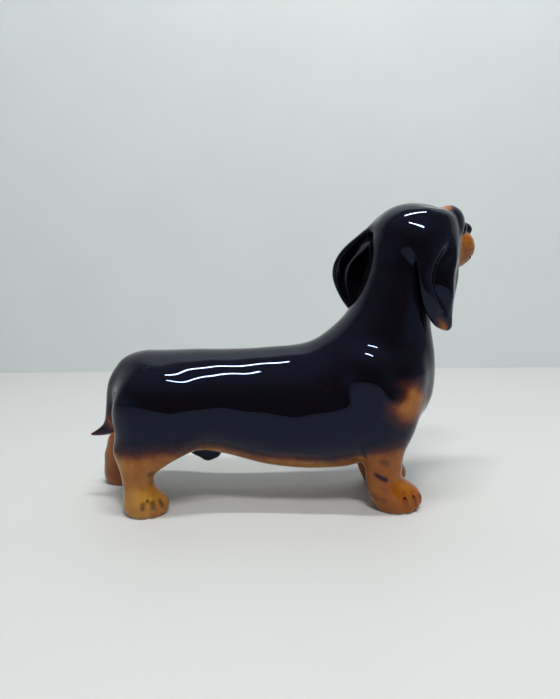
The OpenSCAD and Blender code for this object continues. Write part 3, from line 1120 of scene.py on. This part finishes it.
class GlazeColours(bpy.types.PropertyGroup):
    """Colours under the clear glaze."""
    glaze_ior: FloatProperty(name="Glaze index", description="How strongly the glaze mirrors", default=1.4,
                             min=1.2, max=1.8)
    sheen: FloatVectorProperty(name="Sheen", description="Cast of the glaze's mirror", subtype="COLOR",
                               size=3, default=(0.42, 0.56, 1.0), min=0, max=1)
    jet: FloatVectorProperty(name="Jet", description="Eyes and nose", subtype="COLOR", size=3,
                             default=(0.004, 0.004, 0.005), min=0, max=1)
    black: FloatVectorProperty(name="Black", description="Sprayed black, with its blue cast",
                               subtype="COLOR", size=3, default=(0.0048, 0.004, 0.0062), min=0, max=1)
    brown: FloatVectorProperty(name="Brown", description="Where thin black lies over tan", subtype="COLOR",
                               size=3, default=(0.075, 0.02, 0.005), min=0, max=1)
    red_brown: FloatVectorProperty(name="Red-brown", description="Deep tan", subtype="COLOR", size=3,
                                   default=(0.31, 0.088, 0.006), min=0, max=1)
    honey: FloatVectorProperty(name="Honey", description="Light tan", subtype="COLOR", size=3,
                               default=(0.46, 0.215, 0.034), min=0, max=1)
    clay: FloatVectorProperty(name="Clay", description="Bare clay of the wiped soles", subtype="COLOR",
                              size=3, default=(0.75, 0.68, 0.56), min=0, max=1)


class StageSettings(bpy.types.PropertyGroup):
    """Camera, floor and lights."""
    camera_distance: FloatProperty(name="Camera distance",
                                   description="From the camera to the middle of the trunk", default=0.281,
                                   min=0.15, max=2.0, subtype="DISTANCE", unit="LENGTH")
    camera_height: FloatProperty(name="Camera height", description="Above the floor", default=0.128,
                                 min=0.02, max=1.0, subtype="DISTANCE", unit="LENGTH")
    camera_tilt: FloatProperty(name="Camera tilt", description="Downward tilt", default=math.radians(10),
                               min=-0.5, max=1.0, subtype="ANGLE", unit="ROTATION")
    camera_roll: FloatProperty(name="Camera roll", description="Lean of the camera",
                               default=math.radians(-0.6), min=-0.2, max=0.2, subtype="ANGLE",
                               unit="ROTATION")
    lens: FloatProperty(name="Lens", description="Focal length in millimetres", default=28.84, min=10,
                        max=120)
    tube_power: FloatProperty(name="Tube power", description="Watts a metre of the tubes", default=18.0,
                              min=0, max=200)
    soft_power: FloatProperty(name="Soft light power", description="Watts of the broad overhead light",
                              default=8.3, min=0, max=500)
    sky: FloatProperty(name="Ceiling brightness", description="Brightness straight overhead", default=0.33,
                       min=0, max=10)
    side_walls: FloatProperty(name="Side walls", description="Brightness of the room to either side",
                              default=0.3, min=0, max=10)
    wall_gap: FloatProperty(name="Wall gap", description="From the trunk to the wall behind", default=0.316,
                            min=0.1, max=3.0, subtype="DISTANCE", unit="LENGTH")
    floor: FloatVectorProperty(name="Floor", description="Colour of the floor", subtype="COLOR", size=3,
                               default=(0.55, 0.55, 0.53), min=0, max=1)
    wall: FloatVectorProperty(name="Wall", description="Colour of the wall", subtype="COLOR", size=3,
                              default=(0.72, 0.765, 0.755), min=0, max=1)


# ------------------------------------------------------------------ operators
class FIGURINE_OT_trunk(bpy.types.Operator):
    """Model the trunk with its haunches and shoulders"""
    bl_idname = "figurine.trunk"
    bl_label = "Trunk"

    def execute(self, context):
        add_piece(context, "body_casting", "black_over_tan")
        return {"FINISHED"}


class FIGURINE_OT_head(bpy.types.Operator):
    """Model the neck and the head with its eyes, nose and mouth"""
    bl_idname = "figurine.head"
    bl_label = "Neck and head"

    def execute(self, context):
        add_piece(context, "head_casting", "black_over_tan")
        return {"FINISHED"}


class FIGURINE_OT_ears(bpy.types.Operator):
    """Model both ears"""
    bl_idname = "figurine.ears"
    bl_label = "Ears"

    def execute(self, context):
        for side in ("right", "left"):
            add_piece(context, side + "_ear", "black_over_tan")
        return {"FINISHED"}


class FIGURINE_OT_tail(bpy.types.Operator):
    """Model the tail"""
    bl_idname = "figurine.tail"
    bl_label = "Tail"

    def execute(self, context):
        add_piece(context, "tail", "black_over_tan")
        return {"FINISHED"}


class FIGURINE_OT_legs(bpy.types.Operator):
    """Model the four legs"""
    bl_idname = "figurine.legs"
    bl_label = "Legs"

    def execute(self, context):
        for name in LEGS:
            add_piece(context, name, "tan_under_glaze")
        return {"FINISHED"}


def plain_material(name, colour, roughness):
    """Matt paint with a little uneven dust."""
    material = bpy.data.materials.new(name)
    material.use_nodes = True
    g = Graph(material.node_tree)
    material.node_tree.nodes.clear()
    place = g.node("ShaderNodeTexCoord").outputs["Object"]
    dust = g.span(g.noise(place, 14.0, 4.0), 0.3, 0.7, 0.0, 0.06)
    shade = g.mix(dust, with_alpha(colour), (0.45, 0.45, 0.44, 1))
    shader = g.node("ShaderNodeBsdfPrincipled", {"Base Color": shade, "Roughness": roughness})
    g.node("ShaderNodeOutputMaterial", {"Surface": shader.outputs[0]})
    return material


def flat_sheet(name, corners, material, context):
    """One flat face of the stage."""
    mesh = bpy.data.meshes.new(name)
    mesh.from_pydata(corners, [], [tuple(range(len(corners)))])
    mesh.materials.append(material)
    sheet = bpy.data.objects.new(name, mesh)
    context.collection.objects.link(sheet)
    return sheet


def strip_light(context, name, place, target, size, power, colour):
    """Rectangular lamp facing a target."""
    data = bpy.data.lights.new(name, "AREA")
    data.shape = "RECTANGLE"
    data.size, data.size_y = size
    data.energy = power
    data.color = colour
    light = bpy.data.objects.new(name, data)
    context.collection.objects.link(light)
    light.location = place
    light.rotation_euler = (Vector(target) - Vector(place)).to_track_quat("-Z", "Y").to_euler()
    return light


CAMERA_ASIDE = 0.0004
TUBE_WIDTH = 0.05
TUBES = (  # name, left end, right end, from the dog's origin
    ("tube_over", (-0.15, -0.08, 1.25), (0.27, -0.12, 1.25)),
    ("tube_front", (-0.09, -0.50, 1.2), (0.34, -0.74, 1.2)))


def tube_light(context, name, left, right, target, power):
    """Ceiling tube from left to right, facing the target, with its power in watts for each metre."""
    middle_at = (left + right) / 2
    tube = strip_light(context, name, middle_at, target, ((right - left).length, TUBE_WIDTH),
                       power * (right - left).length, (1.0, 0.99, 0.97))
    along = (right - left).normalized()
    away = middle_at - target
    away = (away - along * away.dot(along)).normalized()
    tube.rotation_euler = Matrix((along, away.cross(along), away)).transposed().to_euler()
    return tube


class FIGURINE_OT_stage(bpy.types.Operator):
    """Set the floor, wall, lights and camera"""
    bl_idname = "figurine.stage"
    bl_label = "Stage"

    def execute(self, context):
        stage = context.scene.stage_settings
        middle_x, middle_y = TRUNK_AT[0] * MM, TRUNK_AT[1] * MM
        back = middle_y + stage.wall_gap
        wide, near, tall = 3.0, -1.1, 2.4
        flat_sheet("floor", [(-wide, near, 0), (wide, near, 0), (wide, back, 0), (-wide, back, 0)],
                   plain_material("floor_paint", stage.floor, 0.55), context)
        flat_sheet("wall", [(-wide, back, 0), (wide, back, 0), (wide, back, tall), (-wide, back, tall)],
                   plain_material("wall_paint", stage.wall, 0.6), context)
        dog = Vector((middle_x, middle_y, 0.0))
        target = dog + Vector((0.0, 0.0, 0.07))
        for name, left, right in TUBES:
            tube_light(context, name, Vector(left) + dog, Vector(right) + dog, target, stage.tube_power)
        soft = strip_light(context, "soft_box", (0.0, -0.35, 1.9), (0.0, 0.0, 0.0), (2.4, 1.8),
                           stage.soft_power, (0.95, 0.98, 1.0))
        soft.visible_glossy = False
        world = bpy.data.worlds.new("room")
        context.scene.world = world
        world.use_nodes = True
        tree = world.node_tree
        tree.nodes.clear()
        g = Graph(tree)
        way = g.node("ShaderNodeTexCoord").outputs["Generated"]
        way = g.node("ShaderNodeSeparateXYZ", {0: way}).outputs
        aside = g.span(g.math("ABSOLUTE", way["X"]), 0.35, 0.85, 0.0, stage.side_walls)
        low_down = g.span(way["Z"], -0.1, 0.75, 1.0, 0.0)
        bright = g.span(way["Z"], 0.3, 0.95, 0.015, stage.sky)
        bright = g.math("ADD", bright, g.math("MULTIPLY", aside, low_down))
        sky = g.node("ShaderNodeBackground", {"Color": (0.55, 0.74, 1.0, 1.0), "Strength": bright})
        g.node("ShaderNodeOutputWorld", {"Surface": sky.outputs[0]})
        camera_data = bpy.data.cameras.new("camera")
        camera_data.lens = stage.lens
        camera_data.sensor_width = 36.0
        camera = bpy.data.objects.new("camera", camera_data)
        context.collection.objects.link(camera)
        tilt = Matrix.Rotation(math.radians(90) - stage.camera_tilt, 4, "X")
        lean = Matrix.Rotation(stage.camera_roll, 4, "Z")
        camera_x = middle_x + CAMERA_ASIDE
        spot_at = Matrix.Translation((camera_x, middle_y - stage.camera_distance, stage.camera_height))
        camera.matrix_world = spot_at @ tilt @ lean
        context.scene.camera = camera
        context.scene.view_settings.view_transform = "Standard"
        return {"FINISHED"}


class FIGURINE_PT_panel(bpy.types.Panel):
    """The figurine's steps in the sidebar"""
    bl_label = "Figurine"
    bl_idname = "FIGURINE_PT_panel"
    bl_space_type = "VIEW_3D"
    bl_region_type = "UI"
    bl_category = "Figurine"

    def draw(self, context):
        column = self.layout.column()
        for operator in STEPS:
            column.operator(operator.bl_idname)
        for settings in (context.scene.figurine, context.scene.glaze, context.scene.stage_settings):
            for name in settings.__annotations__:
                column.prop(settings, name)


STEPS = (FIGURINE_OT_trunk, FIGURINE_OT_head, FIGURINE_OT_ears, FIGURINE_OT_tail, FIGURINE_OT_legs,
         FIGURINE_OT_stage)


CLASSES = (FigurineSizes, GlazeColours, StageSettings) + STEPS + (FIGURINE_PT_panel,)


def register():
    for made in CLASSES:
        bpy.utils.register_class(made)
    bpy.types.Scene.figurine = PointerProperty(type=FigurineSizes)
    bpy.types.Scene.glaze = PointerProperty(type=GlazeColours)
    bpy.types.Scene.stage_settings = PointerProperty(type=StageSettings)


def unregister():
    del bpy.types.Scene.figurine
    del bpy.types.Scene.glaze
    del bpy.types.Scene.stage_settings
    for made in reversed(CLASSES):
        bpy.utils.unregister_class(made)


def main():
    """Build everything in order."""
    register()
    for step in STEPS:
        group, name = step.bl_idname.split(".")
        getattr(getattr(bpy.ops, group), name)()


if __name__ == "__main__":
    main()
